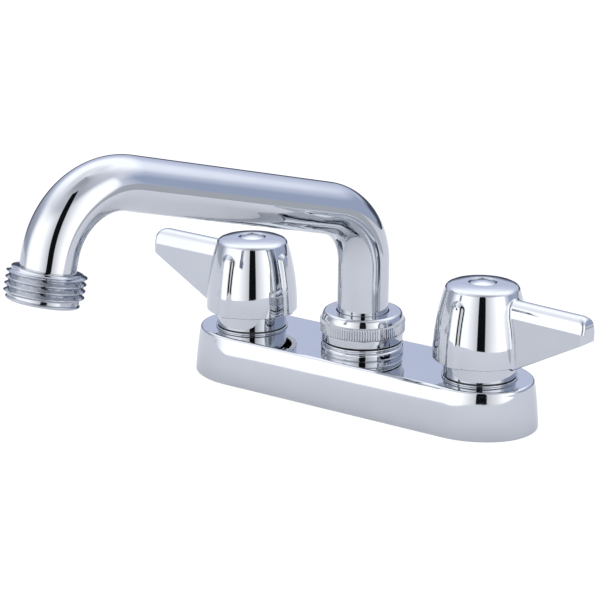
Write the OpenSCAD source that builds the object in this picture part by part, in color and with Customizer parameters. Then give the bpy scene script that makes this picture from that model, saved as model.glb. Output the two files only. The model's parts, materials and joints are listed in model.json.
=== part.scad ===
// Two-handle utility sink faucet on 4-inch centres with a swinging hose-end spout.
// Millimetres, +Z up. The origin is where the spout's axis meets the deck.
// The user stands at -Y, the hot valve is at -X and the cold valve at +X.

/* [Centres] */
// Distance between the two valves and the two supply shanks
valve_spacing = 101.6; // [96:0.2:108]

/* [Deck cover] */
// Distance at the deck from a valve's axis to the cover's end
cover_overhang = 22.1; // [21.8:0.1:28]
// Depth of the cover at the deck, front to back
cover_depth = 43.2; // [40:0.2:50]
// Height of the cover's flat top above the deck
cover_h = 17.9; // [17:0.1:22]
// Wall of the cover
cover_wall = 2.2; // [1.6:0.1:2.8]
// Radius of the edge between the cover's side and its top
cover_edge_r = 1.4; // [0.8:0.1:2]
// Slope of the cover's side at the deck, in degrees
cover_foot_draft = 4; // [2:0.5:6]
// Slope of the cover's side at its top edge, in degrees
cover_top_draft = 12; // [9:0.5:14]
// Thickness of the gasket between the deck and the valve body
gasket_t = 1.6; // [1:0.1:2.2]

/* [Spout tube] */
// Outer diameter of the spout tube
tube_d = 19.05; // [18:0.05:20]
// Wall of the spout tube
tube_wall = 1.2; // [0.8:0.1:1.6]
// Height above the deck at which the riser starts to bend
riser_h = 51.8; // [48:0.2:90]
// Centre-line radius of the bend on top of the riser
riser_bend_r = 24.5; // [22:0.5:34]
// Rise of the long straight run, in degrees above level
run_rise = 14.5; // [5:0.5:25]
// Length of the straight run
run_length = 90.3; // [60:0.5:140]
// Centre-line radius of the bend at the outlet
outlet_bend_r = 26; // [22:0.5:36]
// Angle through which the outlet bend turns
outlet_bend_angle = 92; // [80:1:104]
// Straight tube between the outlet bend and the hose end
leg_length = 4.7; // [2:0.1:20]
// Angle of the spout from straight ahead towards the hot side
spout_turn = 15.4; // [-90:0.2:90]

/* [Hose end] */
// Outer diameter of the garden hose thread
hose_thread_d = 26.9; // [26.5:0.05:27.3]
// Pitch of the garden hose thread
hose_pitch = 2.209; // [2:0.001:2.4]
// Height of the thread's ridges
hose_thread_h = 1.3; // [0.9:0.05:1.5]
// Width of the flat on each ridge
hose_crest_w = 0.5; // [0.3:0.05:0.8]
// Number of ridges
hose_ridges = 4; // [3:1:6]
// Bore of the hose end
hose_bore_d = 16.2; // [14:0.1:17]

/* [Swivel nut] */
// Diameter over the knurled band
knurl_d = 31.8; // [31.4:0.1:34]
// Diameter of the plain band below the knurl
nut_band_d = 30.2; // [29.6:0.1:31]
// Height of the plain band
nut_band_h = 3.2; // [2.5:0.1:5]
// Height of the knurled band
knurl_h = 4.6; // [3.5:0.1:6]
// Height of the rounded shoulder above the knurl
nut_shoulder_h = 3.05; // [2.5:0.05:3.6]
// Radius of the shoulder
nut_shoulder_r = 2; // [1:0.1:2.4]
// Gap between the nut's hole and the tube
nut_hole_gap = 0.3; // [0.2:0.05:0.5]

/* [Spout hub] */
// Diameter of the hub that clamps the cover
hub_d = 30.9; // [30:0.1:33]
// Height of the hub's convex lower band
hub_band_h = 2.7; // [2:0.1:4]
// Height of the groove above the band
hub_groove_h = 0.8; // [0.5:0.1:1.2]
// Height of the bead on top of the hub
hub_bead_h = 0.7; // [0.5:0.1:1.2]
// Gap between the hub and the nut
hub_gap = 0.6; // [0.3:0.1:1]

/* [Cover rings] */
// Diameter of the ring that holds the cover at each valve
ring_d = 26.7; // [26:0.1:27.4]
// Diameter of the lip at the ring's foot
ring_lip_d = 27.7; // [27.5:0.1:29]
// Height of that lip
ring_lip_h = 0.6; // [0.5:0.1:1.5]
// Height of the groove above the lip
ring_groove_h = 0.4; // [0.2:0.1:0.6]
// Height of the ring, whose top is hidden in the handle's skirt
ring_h = 7.6; // [7.5:0.1:8.5]

/* [Handles] */
// Largest diameter of the handle's skirt
handle_d = 34.8; // [33:0.1:38]
// Height of the handle from its skirt's foot to its top
handle_h = 28.1; // [27:0.1:31]
// Gap between the cover's top and the skirt's foot
handle_lift = 7.4; // [7:0.1:7.5]
// Bevel round the skirt's foot
handle_bevel = 0.3; // [0.2:0.1:0.8]
// Profile radius of the handle's convex side
handle_side_r = 95; // [80:1:140]
// Radius of the edge round the handle's top
handle_edge_r = 2.6; // [1.5:0.1:3]
// Wall of the handle
handle_wall = 2; // [1.6:0.1:2.4]
// Width of each flute
flute_w = 5.2; // [4:0.1:6]
// Depth of each flute
flute_depth = 0.9; // [0.5:0.1:1.1]
// Number of flutes, a quarter turn apart, starting beside the lever
flute_count = 3; // [1:1:3]
// Distance from the handle's top to the top of the flutes
flute_drop = 5; // [4:0.1:8]
// Angle of the hot lever from the hot side, clockwise from above
hot_lever_turn = 1.5; // [-10:0.5:10]
// Angle of the cold lever from the cold side, clockwise from above
cold_lever_turn = 5.4; // [-10:0.5:10]

/* [Levers] */
// Reach of the lever from the valve's axis
lever_reach = 45.6; // [40:0.2:60]
// Width of the lever's blade
lever_w = 8.3; // [7:0.1:10]
// Distance from the handle's top down to the lever's ridge
lever_drop = 3.9; // [3.5:0.1:6]
// Radius of the lever's rounded ridge
lever_ridge_r = 3.6; // [3:0.1:3.7]
// Height of the lever's tip
lever_tip_h = 9.3; // [8.5:0.1:14]
// Height of the lever's root below its ridge
lever_root_h = 25.8; // [20:0.1:26]
// Radius of the tip's upper corner
lever_tip_r = 4.1; // [3:0.1:6]

/* [Index buttons] */
// Diameter of the button in the handle's top
button_d = 9.7; // [9:0.1:10.5]
// Thickness of the button's rim
button_t = 1.6; // [1.2:0.1:2]
// Depth of the dish in the button's face
button_dish = 0.3; // [0.1:0.05:0.5]

/* [Valves] */
// Diameter of the stem where it passes through the bonnet
stem_d = 8; // [7:0.1:8.6]
// Diameter of the stem's lifting thread
stem_thread_d = 11; // [10.5:0.1:12]
// Rise of the stem as the valve opens fully
stem_lift = 1.94; // [1.2:0.02:2.2]
// Length of the splined stem inside the handle
spline_length = 10.6; // [8:0.1:11.5]
// Diameter of the seat washer
seat_washer_d = 11.6; // [11:0.1:12.2]
// Thickness of the seat washer
seat_washer_t = 2.5; // [2:0.1:3]
// Bore of the seat
seat_bore_d = 6.6; // [6:0.1:7]
// Width of the bonnet's hexagon across its flats
bonnet_hex_w = 19; // [17.5:0.1:20]
// Height of the bonnet's hexagon
bonnet_hex_h = 4.7; // [4:0.1:6]
// Height of the bonnet's neck above the hexagon
bonnet_neck_h = 6; // [5:0.1:6.8]

/* [Supply shanks] */
// Diameter over the supply shank's thread
shank_d = 20.9; // [20.5:0.05:21.3]
// Length of the supply shank below the deck
shank_length = 45; // [30:1:60]
// Bore of the supply shank
shank_bore_d = 13; // [11:0.1:14]
// Diameter of the washer under the deck
deck_washer_d = 38; // [34:0.5:42]
// Width of the locknut across its flats
locknut_w = 28.6; // [27:0.1:32]
// Thickness of the locknut
locknut_t = 7; // [5:0.5:9]
// Distance from the deck's top to the washer below it
deck_grip = 20; // [6:0.5:24]

/* [Hidden] */
$fn = 96;
// Facets of the large flat arcs that shape the handles' sides and the buttons
flat_arc_fn = 720;
// Facets of the small round sections of rings and rounded edges
wire_fn = 48;
// Steps of the cover's side and top edge, and of the arcs of its outline
side_steps = 4;
edge_steps = 4;
nose_arc_steps = 14;
side_arc_steps = 6;
// Sides of the spout tube and steps of each of its bends
tube_sides = 48;
bend_steps = 14;

// Clearances and overruns
thread_gap = 0.05;
running_gap = 0.05;
seat_gap = 0.05;
trim_gap = 0.45;
cut_over = 1;

// Deck cover
nose_share = 0.907;
side_share = 1.26;
valve_x = valve_spacing / 2;
half_depth = cover_depth / 2;
half_length = valve_x + cover_overhang;
nose_r = half_depth * nose_share;
side_r = half_depth * side_share;
side_drop = side_r - half_depth;
nose_step = sqrt(pow(side_r - nose_r, 2) - pow(side_drop, 2));
side_x = half_length - nose_r - nose_step;
nose_x = half_length - nose_r;
nose_angle = atan2(side_drop, nose_step);
side_arc_r = cover_h / (sin(cover_top_draft) - sin(cover_foot_draft));
under_z = cover_h - cover_wall;

// Valve body
body_gap = 0.5;
body_floor_z = gasket_t;
body_top_z = under_z - body_gap;
body_mid_z = (body_floor_z + body_top_z) / 2;
passage_r = 3;
passage_margin = 0.9;
crossbar_r = (body_top_z - body_floor_z) / 2 - passage_margin;
tower_r = 12.8;
tower_neck_r = 10.8;
chamber_r = 8.8;
chamber_floor_z = body_mid_z - passage_r;
pedestal_r = 6.3;
pedestal_h = 3.2;
pedestal_top_z = chamber_floor_z + pedestal_h;
pedestal_bore_r = 4.7;
socket_depth = 2.3;
socket_r = 9.4;
ring_lip_bevel = 0.2;
ring_groove_depth = 0.5;
ring_bonnet_gap = 0.5;
tower_rise = 2.5;
tower_top_z = cover_h + tower_rise;

// Seat, washer and stem
seat_sleeve_h = 2.6;
seat_flange_r = 6;
seat_flange_t = 0.8;
seat_z = pedestal_top_z + seat_flange_t;
seat_washer_z = seat_z + seat_gap;
seat_washer_top_z = seat_washer_z + seat_washer_t;
washer_screw_head_r = 2.6;
washer_screw_head_t = 1.6;
washer_screw_r = 1.5;
washer_screw_length = 6;
stem_head_r = 6.3;
stem_head_t = 1.8;
stem_z = seat_washer_top_z + seat_gap;
stem_head_top_z = stem_z + stem_head_t;
bonnet_stop_gap = 0.26;
bonnet_z = stem_head_top_z + stem_lift + bonnet_stop_gap;
stem_thread_length = 7.6;
stem_thread_top_z = stem_head_top_z + stem_thread_length;
stem_thread_room = stem_lift + 1.1;
bonnet_washer_t = 0.6;
bonnet_washer_r = 10;
bonnet_flange_z = tower_top_z + bonnet_washer_t;
bonnet_flange_t = 1.4;
bonnet_hex_z = bonnet_flange_z + bonnet_flange_t;
bonnet_neck_z = bonnet_hex_z + bonnet_hex_h;
bonnet_top_z = bonnet_neck_z + bonnet_neck_h;
bonnet_neck_r = 6.2;
hexagon_share = 1 / cos(30);
stem_ring_r = 1.1;
stem_ring_z = bonnet_neck_z + bonnet_neck_h / 2;
stem_ring_room = 0.1;

// Handle
handle_z = cover_h + handle_lift;
handle_top_z = handle_z + handle_h;
handle_r = handle_d / 2;
handle_bevel_z = handle_z + handle_bevel;
handle_hollow_h = 4.5;
handle_edge_z = handle_top_z - handle_edge_r;
handle_arc_x = handle_r - handle_side_r;
handle_edge_x = handle_arc_x
    + sqrt(pow(handle_side_r - handle_edge_r, 2) - pow(handle_edge_z - handle_bevel_z, 2));
handle_edge_tangent_z = handle_bevel_z
    + (handle_edge_z - handle_bevel_z) * handle_side_r / (handle_side_r - handle_edge_r);
handle_roof_t = 3;
handle_roof_z = handle_top_z - handle_roof_t;
handle_hub_r = 6.8;
handle_hub_gap = 1;
handle_hub_z = bonnet_top_z + handle_hub_gap;
spline_r = 3.6;
spline_top_z = handle_hub_z + spline_length;
screw_web_t = 1.4;
screw_web_top_z = spline_top_z + screw_web_t;
button_r = button_d / 2;
button_gap = 0.1;
button_sink = 0.12;
button_top_z = handle_top_z - button_sink;
button_seat_z = button_top_z - button_t;
button_stub_h = 1.2;
button_stub_gap = 0.1;
screw_pocket_r = 4.1;
handle_screw_head_r = 3.3;
handle_screw_head_t = 2.2;
handle_screw_r = 1.9;
handle_screw_length = 9;
screw_slot_w = 0.9;
screw_slot_depth = 0.8;
flute_r = (pow(flute_w / 2, 2) + pow(flute_depth, 2)) / (2 * flute_depth);
flute_step_angle = 90;

// Lever
lever_root_x = handle_r - handle_wall;
lever_ridge_z = handle_top_z - lever_drop;
lever_flare_drop = 5.6;
lever_tip_land = 0.5;

// Spout hub, nut and swivel
boss_r = 13.15;
boss_bore_r = 11.6;
hub_r = hub_d / 2;
hub_bead_inset = 0.3;
hub_bead_r = hub_r - hub_bead_inset;
hub_groove_depth = 0.8;
hub_groove_r = hub_r - hub_groove_depth;
hub_round_r = 0.7;
hub_top_z = cover_h + hub_band_h + hub_groove_h + hub_bead_h;
nut_z = hub_top_z + hub_gap;
knurl_z = nut_z + nut_band_h;
knurl_top_z = knurl_z + knurl_h;
knurl_r = knurl_d / 2;
nut_band_r = nut_band_d / 2;
nut_top_z = knurl_top_z + nut_shoulder_h;
nut_lip_t = 2.05;
nut_lip_z = nut_top_z - nut_lip_t;
friction_ring_t = 1.15;
friction_ring_z = nut_lip_z - running_gap - friction_ring_t;
collar_flange_t = 2.35;
collar_flange_r = 12.9;
collar_flange_z = friction_ring_z - running_gap - collar_flange_t;
boss_top_z = collar_flange_z - running_gap;
collar_spigot_h = 10.4;
collar_z = boss_top_z - collar_spigot_h;
collar_r = boss_bore_r - running_gap;
collar_clear = 0.5;
boss_bore_z = collar_z - collar_clear;
centre_block_r = 14.5;
centre_bore_r = 6.5;
o_ring_groove_z = collar_z + 1.2;
o_ring_groove_h = 2.2;
o_ring_r = 0.95;
o_ring_room = 0.03;
tube_r = tube_d / 2;
tube_bore_r = tube_r - tube_wall;
tube_seat_h = 6;
tube_foot_z = boss_top_z - tube_seat_h;
nut_hole_r = tube_r + nut_hole_gap;

// Spout route in the plane of reach and height
first_bend_angle = 90 - run_rise;
run_x = riser_bend_r * (1 - cos(first_bend_angle));
run_z = riser_h + riser_bend_r * sin(first_bend_angle);
run_end_x = run_x + run_length * cos(run_rise);
run_end_z = run_z + run_length * sin(run_rise);
bend_x = run_end_x + outlet_bend_r * sin(run_rise);
bend_z = run_end_z - outlet_bend_r * cos(run_rise);
leg_lean = 90 + run_rise - outlet_bend_angle;
leg_x = bend_x + outlet_bend_r * cos(leg_lean);
leg_z = bend_z + outlet_bend_r * sin(leg_lean);

// Hose end, measured along the spout's leg from the end of the outlet bend
hose_major_r = hose_thread_d / 2;
hose_minor_r = hose_major_r - hose_thread_h;
hose_bore_r = hose_bore_d / 2;
hose_face_land = 0.2;
hose_start_room = 0.75;
hose_lead_h = 1.3;
hose_lead_in = 0.5;
hose_length = hose_face_land + hose_start_room + hose_ridges * hose_pitch + hose_lead_h;
hose_socket_h = 5.2;
hose_rim_round = 0.4;

// Below the deck
shank_spigot_h = socket_depth;
shank_chamfer = 1;
shank_pitch = 1.814;
shank_thread_h = 1;
shank_crest_w = 0.6;
shank_thread_z = -2;
deck_washer_t = 1.6;
deck_washer_z = -deck_grip - deck_washer_t;
locknut_z = deck_washer_z - locknut_t;
shank_hole_gap = 0.6;
shank_throat_z = -1;
shank_throat_step = 0.5;

// Moves a child to the hot valve's axis.
module at_hot() {
    translate([-valve_x, 0, 0])
        children();
}

// Moves a child to the cold valve's axis.
module at_cold() {
    translate([valve_x, 0, 0])
        children();
}

// Turns a child so that its +X points along the hot lever at rest.
module hot_lever_frame() {
    at_hot()
        rotate([0, 0, 180 - hot_lever_turn])
            children();
}

// Turns a child so that its +X points along the cold lever at rest.
module cold_lever_frame() {
    at_cold()
        rotate([0, 0, -cold_lever_turn])
            children();
}

// Turns a child so that its +X is the spout's reach at rest.
module spout_frame() {
    rotate([0, 0, -90 - spout_turn])
        children();
}

// How far the cover's side leans in from its foot at the height z.
function side_inset(z) =
    side_arc_r * (cos(cover_foot_draft) - cos(asin(sin(cover_foot_draft) + z / side_arc_r)));

// Points along an arc, without its last one unless ends is 1.
function arc_points(pivot, r, from, turn, steps, ends) = [
    for (i = [0 : steps - 1 + ends])
        pivot + r * [cos(from + turn * i / steps), sin(from + turn * i / steps)]
];

// One end of the cover's outline, drawn in by inset: three tangent arcs, front to back.
function end_points(inset) = concat(
    arc_points([side_x, side_drop], side_r - inset, -90, 90 - nose_angle, side_arc_steps, 0),
    arc_points([nose_x, 0], nose_r - inset, -nose_angle, 2 * nose_angle, nose_arc_steps, 0),
    arc_points([side_x, -side_drop], side_r - inset, nose_angle, 90 - nose_angle, side_arc_steps, 1)
);

// Levels of the cover's form, each with its inset and height: convex side, then rounded top edge.
function cover_levels(foot_z, top_z, edge_r) = concat(
    foot_z < 0 ? [[0, foot_z]] : [],
    [for (i = [0 : side_steps])
        let (z = (top_z - edge_r) * i / side_steps)
        [side_inset(z), z]],
    [for (i = [1 : edge_steps])
        let (turn = 90 * i / edge_steps)
        [side_inset(top_z - edge_r) + edge_r * (1 - cos(turn)), top_z - edge_r * (1 - sin(turn))]]
);

// Solid with the cover's outline, drawn in by inset, with its convex side and rounded top edge.
module cover_form(inset, foot_z, top_z, edge_r) {
    levels = cover_levels(foot_z, top_z, edge_r);
    n = 2 * len(end_points(0));
    last = len(levels) - 1;
    points = [
        for (level = levels)
            for (side = [1, -1])
                for (p = end_points(inset + level[0]))
                    [side * p[0], side * p[1], level[1]]
    ];
    faces = concat(
        [[for (j = [0 : n - 1]) j]],
        [for (i = [0 : last - 1])
            for (j = [0 : n - 1])
                let (k = (j + 1) % n, a = i * n, b = a + n)
                [a + j, b + j, b + k, a + k]],
        [[for (j = [0 : n - 1]) last * n + n - 1 - j]]
    );
    polyhedron(points = points, faces = faces);
}

// The cover's flat outline, drawn in by inset.
module cover_outline(inset) {
    tangent_x = side_x + (side_r - inset) * cos(nose_angle);
    square([2 * side_x, 2 * (half_depth - inset)], center = true);
    for (end = [0, 180])
        rotate([0, 0, end]) {
            translate([nose_x, 0])
                circle(r = nose_r - inset);
            intersection() {
                translate([side_x, -side_drop])
                    circle(r = side_r - inset);
                translate([side_x, side_drop])
                    circle(r = side_r - inset);
                translate([0, -half_depth])
                    square([tangent_x, cover_depth]);
            }
        }
}

// A ring or bush with its foot at z.
module bush(outer_r, inner_r, z, h) {
    translate([0, 0, z])
        difference() {
            cylinder(r = outer_r, h = h);
            translate([0, 0, -cut_over])
                cylinder(r = inner_r, h = h + 2 * cut_over);
        }
}

// A straight rod with its foot at z.
module rod(r, z, h) {
    translate([0, 0, z])
        cylinder(r = r, h = h);
}

// A rubber ring with its middle at z.
module round_ring(centre_r, wire_r, z) {
    translate([0, 0, z])
        rotate_extrude()
            translate([centre_r, 0])
                circle(r = wire_r, $fn = wire_fn);
}

// Outline points of a run of thread ridges, from the foot up, each with a flat crest.
function ridge_points(major_r, minor_r, start, pitch, crest_w, ridges) = [
    for (i = [0 : ridges - 1])
        for (p = [
            [minor_r, start + i * pitch],
            [major_r, start + (i + 0.5) * pitch - crest_w / 2],
            [major_r, start + (i + 0.5) * pitch + crest_w / 2]
        ]) p
];

// Chrome cover that stands on the deck and hides the valve body.
module cover_shell() {
    color("silver")
        difference() {
            cover_form(0, 0, cover_h, cover_edge_r);
            cover_form(cover_wall, -cut_over, under_z, cover_edge_r / 2);
            for (x = [-valve_x, valve_x])
                translate([x, 0, 0])
                    rod(tower_neck_r + trim_gap, under_z - cut_over, cover_wall + 2 * cut_over);
            rod(boss_r + trim_gap, under_z - cut_over, cover_wall + 2 * cut_over);
        }
}

// Flat gasket inside the cover's foot, under the valve body.
module deck_gasket() {
    color("dimgray")
        difference() {
            linear_extrude(height = gasket_t)
                cover_outline(cover_wall + trim_gap);
            for (x = [-valve_x, valve_x])
                translate([x, 0, 0])
                    rod(shank_d / 2 + shank_hole_gap, -cut_over, gasket_t + 2 * cut_over);
        }
}

// Waterway of one valve: the chamber round its pedestal, the seat's bore and the shank's socket.
module valve_waterway() {
    difference() {
        rod(chamber_r, chamber_floor_z, tower_top_z - chamber_floor_z + cut_over);
        rod(pedestal_r, chamber_floor_z - cut_over, pedestal_h + cut_over);
    }
    rod(pedestal_bore_r, body_floor_z, pedestal_top_z - body_floor_z + cut_over);
    rod(socket_r, body_floor_z - cut_over, socket_depth + cut_over);
}

// Cast brass body: two valve towers and the spout's boss on one crossbar.
module valve_body() {
    passage_start = valve_x - (pedestal_r + chamber_r) / 2;
    color("goldenrod")
        difference() {
            union() {
                translate([-valve_x, 0, body_mid_z])
                    rotate([0, 90, 0])
                        cylinder(r = crossbar_r, h = valve_spacing);
                for (x = [-valve_x, valve_x])
                    translate([x, 0, 0]) {
                        rod(tower_r, body_floor_z, body_top_z - body_floor_z);
                        rod(tower_neck_r, body_floor_z, tower_top_z - body_floor_z);
                    }
                rod(centre_block_r, body_floor_z, body_top_z - body_floor_z);
                rod(boss_r, body_floor_z, boss_top_z - body_floor_z);
            }
            for (x = [-valve_x, valve_x])
                translate([x, 0, 0])
                    valve_waterway();
            translate([-passage_start, 0, body_mid_z])
                rotate([0, 90, 0])
                    cylinder(r = passage_r, h = 2 * passage_start);
            rod(centre_bore_r, chamber_floor_z, boss_top_z - chamber_floor_z);
            rod(boss_bore_r, boss_bore_z, boss_top_z - boss_bore_z + cut_over);
        }
}

// Threaded supply shank, pressed into the socket under a tower. Its bore ends in a narrower throat.
module supply_shank() {
    ridges = floor((shank_length + shank_thread_z - shank_chamfer) / shank_pitch);
    foot_z = shank_thread_z - ridges * shank_pitch;
    thread_r = shank_d / 2;
    minor_r = thread_r - shank_thread_h;
    spigot_r = socket_r - thread_gap;
    color("goldenrod")
        difference() {
            rotate_extrude()
                polygon(concat(
                    [[0, -shank_length], [minor_r, -shank_length]],
                    ridge_points(thread_r, minor_r, foot_z, shank_pitch, shank_crest_w, ridges),
                    [
                        [minor_r, shank_thread_z],
                        [minor_r, body_floor_z],
                        [spigot_r, body_floor_z],
                        [spigot_r, body_floor_z + shank_spigot_h],
                        [0, body_floor_z + shank_spigot_h]
                    ]
                ));
            rod(shank_bore_d / 2, -shank_length - cut_over, shank_length + shank_throat_z + cut_over);
            rod(shank_bore_d / 2 - shank_throat_step, shank_throat_z - cut_over,
                body_floor_z + shank_spigot_h - shank_throat_z + 2 * cut_over);
        }
}

module hot_shank() {
    at_hot()
        supply_shank();
}

module cold_shank() {
    at_cold()
        supply_shank();
}

// Two wide washers under the deck.
module deck_washers() {
    color("lightgray")
        for (x = [-valve_x, valve_x])
            translate([x, 0, 0])
                bush(deck_washer_d / 2, shank_d / 2 + thread_gap, deck_washer_z, deck_washer_t);
}

// Two hexagonal locknuts below the washers.
module lock_nuts() {
    color("goldenrod")
        for (x = [-valve_x, valve_x])
            translate([x, 0, locknut_z])
                difference() {
                    cylinder(r = locknut_w / 2 * hexagon_share, h = locknut_t, $fn = 6);
                    translate([0, 0, -cut_over])
                        cylinder(r = shank_d / 2 + thread_gap, h = locknut_t + 2 * cut_over);
                }
}

// Renewable seat in the top of the pedestal.
module valve_seat() {
    sleeve_z = pedestal_top_z - seat_sleeve_h;
    color("gold")
        difference() {
            union() {
                rod(pedestal_bore_r - thread_gap, sleeve_z, seat_sleeve_h + seat_flange_t);
                rod(seat_flange_r, pedestal_top_z, seat_flange_t);
            }
            rod(seat_bore_d / 2, sleeve_z - cut_over, seat_sleeve_h + seat_flange_t + 2 * cut_over);
        }
}

module hot_seat() {
    at_hot()
        valve_seat();
}

module cold_seat() {
    at_cold()
        valve_seat();
}

// Bonnet that screws into the tower and guides the stem.
module bonnet() {
    plug_r = chamber_r - thread_gap;
    thread_room_z = stem_thread_top_z + stem_thread_room;
    color("goldenrod")
        difference() {
            union() {
                rod(plug_r, bonnet_z, bonnet_flange_z - bonnet_z);
                rod(bonnet_washer_r, bonnet_flange_z, bonnet_flange_t);
                translate([0, 0, bonnet_hex_z])
                    cylinder(r = bonnet_hex_w / 2 * hexagon_share, h = bonnet_hex_h, $fn = 6);
                rod(bonnet_neck_r, bonnet_neck_z, bonnet_neck_h);
            }
            rod(stem_thread_d / 2 + running_gap, bonnet_z - cut_over, thread_room_z - bonnet_z + cut_over);
            rod(stem_d / 2 + running_gap, bonnet_z, bonnet_top_z - bonnet_z + cut_over);
        }
}

module hot_bonnet() {
    at_hot()
        bonnet();
}

module cold_bonnet() {
    at_cold()
        bonnet();
}

module bonnet_washer() {
    color("saddlebrown")
        bush(bonnet_washer_r, chamber_r, tower_top_z, bonnet_washer_t);
}

module hot_bonnet_washer() {
    at_hot()
        bonnet_washer();
}

module cold_bonnet_washer() {
    at_cold()
        bonnet_washer();
}

// Chrome ring that screws down on a tower, holds the cover and reaches up into the handle's skirt.
module cover_ring() {
    ring_r = ring_d / 2;
    lip_r = ring_lip_d / 2;
    bore_r = tower_neck_r + thread_gap;
    bonnet_bore_r = bonnet_hex_w / 2 * hexagon_share + ring_bonnet_gap;
    color("silver")
        translate([0, 0, cover_h])
            rotate_extrude()
                polygon([
                    [bore_r, 0],
                    [lip_r, 0],
                    [lip_r, ring_lip_h - ring_lip_bevel],
                    [lip_r - ring_lip_bevel, ring_lip_h],
                    [ring_r - ring_groove_depth, ring_lip_h],
                    [ring_r - ring_groove_depth, ring_lip_h + ring_groove_h],
                    [ring_r, ring_lip_h + ring_groove_h],
                    [ring_r, ring_h],
                    [bonnet_bore_r, ring_h],
                    [bonnet_bore_r, tower_rise],
                    [bore_r, tower_rise]
                ]);
}

module hot_cover_ring() {
    at_hot()
        cover_ring();
}

module cold_cover_ring() {
    at_cold()
        cover_ring();
}

// Chrome hub that clamps the middle of the cover to the spout's boss.
module spout_hub() {
    bore_r = boss_r + thread_gap;
    groove_z = cover_h + hub_band_h;
    bead_z = groove_z + hub_groove_h;
    color("silver")
        difference() {
            union() {
                rod(hub_r, cover_h, hub_band_h - hub_round_r);
                rod(hub_r - hub_round_r, cover_h, hub_band_h);
                translate([0, 0, groove_z - hub_round_r])
                    rotate_extrude()
                        translate([hub_r - hub_round_r, 0])
                            circle(r = hub_round_r, $fn = wire_fn);
                rod(hub_groove_r, cover_h, hub_top_z - cover_h);
                rod(hub_bead_r, bead_z, hub_bead_h);
            }
            rod(bore_r, cover_h - cut_over, hub_top_z - cover_h + 2 * cut_over);
        }
}

// Swivel nut: plain band, knurled band and rounded shoulder over the collar of the spout.
module spout_nut() {
    shoulder_top_r = nut_band_r - nut_shoulder_r;
    shoulder_z = nut_top_z - nut_shoulder_r;
    thread_r = boss_r + thread_gap;
    color("silver")
        difference() {
            union() {
                rod(nut_band_r, nut_z, knurl_z - nut_z);
                rod(knurl_r, knurl_z, knurl_h);
                rod(nut_band_r, knurl_top_z, shoulder_z - knurl_top_z);
                rod(shoulder_top_r, nut_z, nut_top_z - nut_z);
                translate([0, 0, shoulder_z])
                    rotate_extrude()
                        translate([shoulder_top_r, 0])
                            circle(r = nut_shoulder_r);
            }
            rod(thread_r, nut_z - cut_over, nut_lip_z - nut_z + cut_over);
            rod(nut_hole_r, nut_z, nut_top_z - nut_z + cut_over);
        }
}

// Plastic ring between the nut's lip and the collar, which steadies the swing.
module friction_ring() {
    color("white")
        bush(collar_flange_r, nut_hole_r, friction_ring_z, friction_ring_t);
}

// Rings of the spout tube's route, each with its reach, height and heading from straight up.
tube_rings = concat(
    [[0, tube_foot_z, 0]],
    [for (i = [0 : bend_steps])
        let (heading = first_bend_angle * i / bend_steps)
        [riser_bend_r * (1 - cos(heading)), riser_h + riser_bend_r * sin(heading), heading]],
    [for (i = [0 : bend_steps])
        let (heading = first_bend_angle + outlet_bend_angle * i / bend_steps)
        [bend_x - outlet_bend_r * cos(heading), bend_z + outlet_bend_r * sin(heading), heading]],
    [[
        leg_x + (leg_length + hose_socket_h) * sin(leg_lean),
        leg_z - (leg_length + hose_socket_h) * cos(leg_lean),
        first_bend_angle + outlet_bend_angle
    ]]
);

// Points of one ring, with radius r, square to its heading.
function ring_points(ring, r) = [
    for (j = [0 : tube_sides - 1])
        let (turn = 360 * j / tube_sides)
        [
            ring[0] + r * cos(turn) * cos(ring[2]),
            r * sin(turn),
            ring[1] - r * cos(turn) * sin(ring[2])
        ]
];

// Puts a child's foot at the end of the outlet bend, with +Z along the leg.
module leg_frame() {
    translate([leg_x, 0, leg_z])
        rotate([0, 180 - leg_lean, 0])
            children();
}

// Bent chrome tube: an outer and an inner skin along the route, closed at both ends.
module spout_tube() {
    last = len(tube_rings) - 1;
    inner = (last + 1) * tube_sides;
    points = [
        for (r = [tube_r, tube_bore_r])
            for (ring = tube_rings)
                for (p = ring_points(ring, r)) p
    ];
    faces = [
        for (j = [0 : tube_sides - 1])
            let (k = (j + 1) % tube_sides, foot = last * tube_sides)
            for (f = concat(
                [for (i = [0 : last - 1])
                    let (a = i * tube_sides, b = a + tube_sides)
                    [a + j, b + j, b + k, a + k]],
                [for (i = [0 : last - 1])
                    let (a = inner + i * tube_sides, b = a + tube_sides)
                    [a + k, b + k, b + j, a + j]],
                [[j, k, inner + k, inner + j]],
                [[foot + k, foot + j, inner + foot + j, inner + foot + k]]
            )) f
    ];
    color("silver")
        spout_frame()
            polyhedron(points = points, faces = faces);
}

// Brass collar brazed to the tube's foot, which turns in the boss.
module spout_collar() {
    color("goldenrod")
        difference() {
            union() {
                rod(collar_r, collar_z, collar_flange_z - collar_z);
                rod(collar_flange_r, collar_flange_z, collar_flange_t);
            }
            rod(tube_r + thread_gap, tube_foot_z, collar_flange_z + collar_flange_t - tube_foot_z + cut_over);
            rod(tube_bore_r, collar_z - cut_over, tube_foot_z - collar_z + 2 * cut_over);
            bush(collar_r + cut_over, collar_r - 2 * o_ring_r, o_ring_groove_z, o_ring_groove_h);
        }
}

module spout_o_ring() {
    color("dimgray")
        round_ring(collar_r - o_ring_r + o_ring_room / 2, o_ring_r - o_ring_room / 2,
            o_ring_groove_z + o_ring_groove_h / 2);
}

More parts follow.
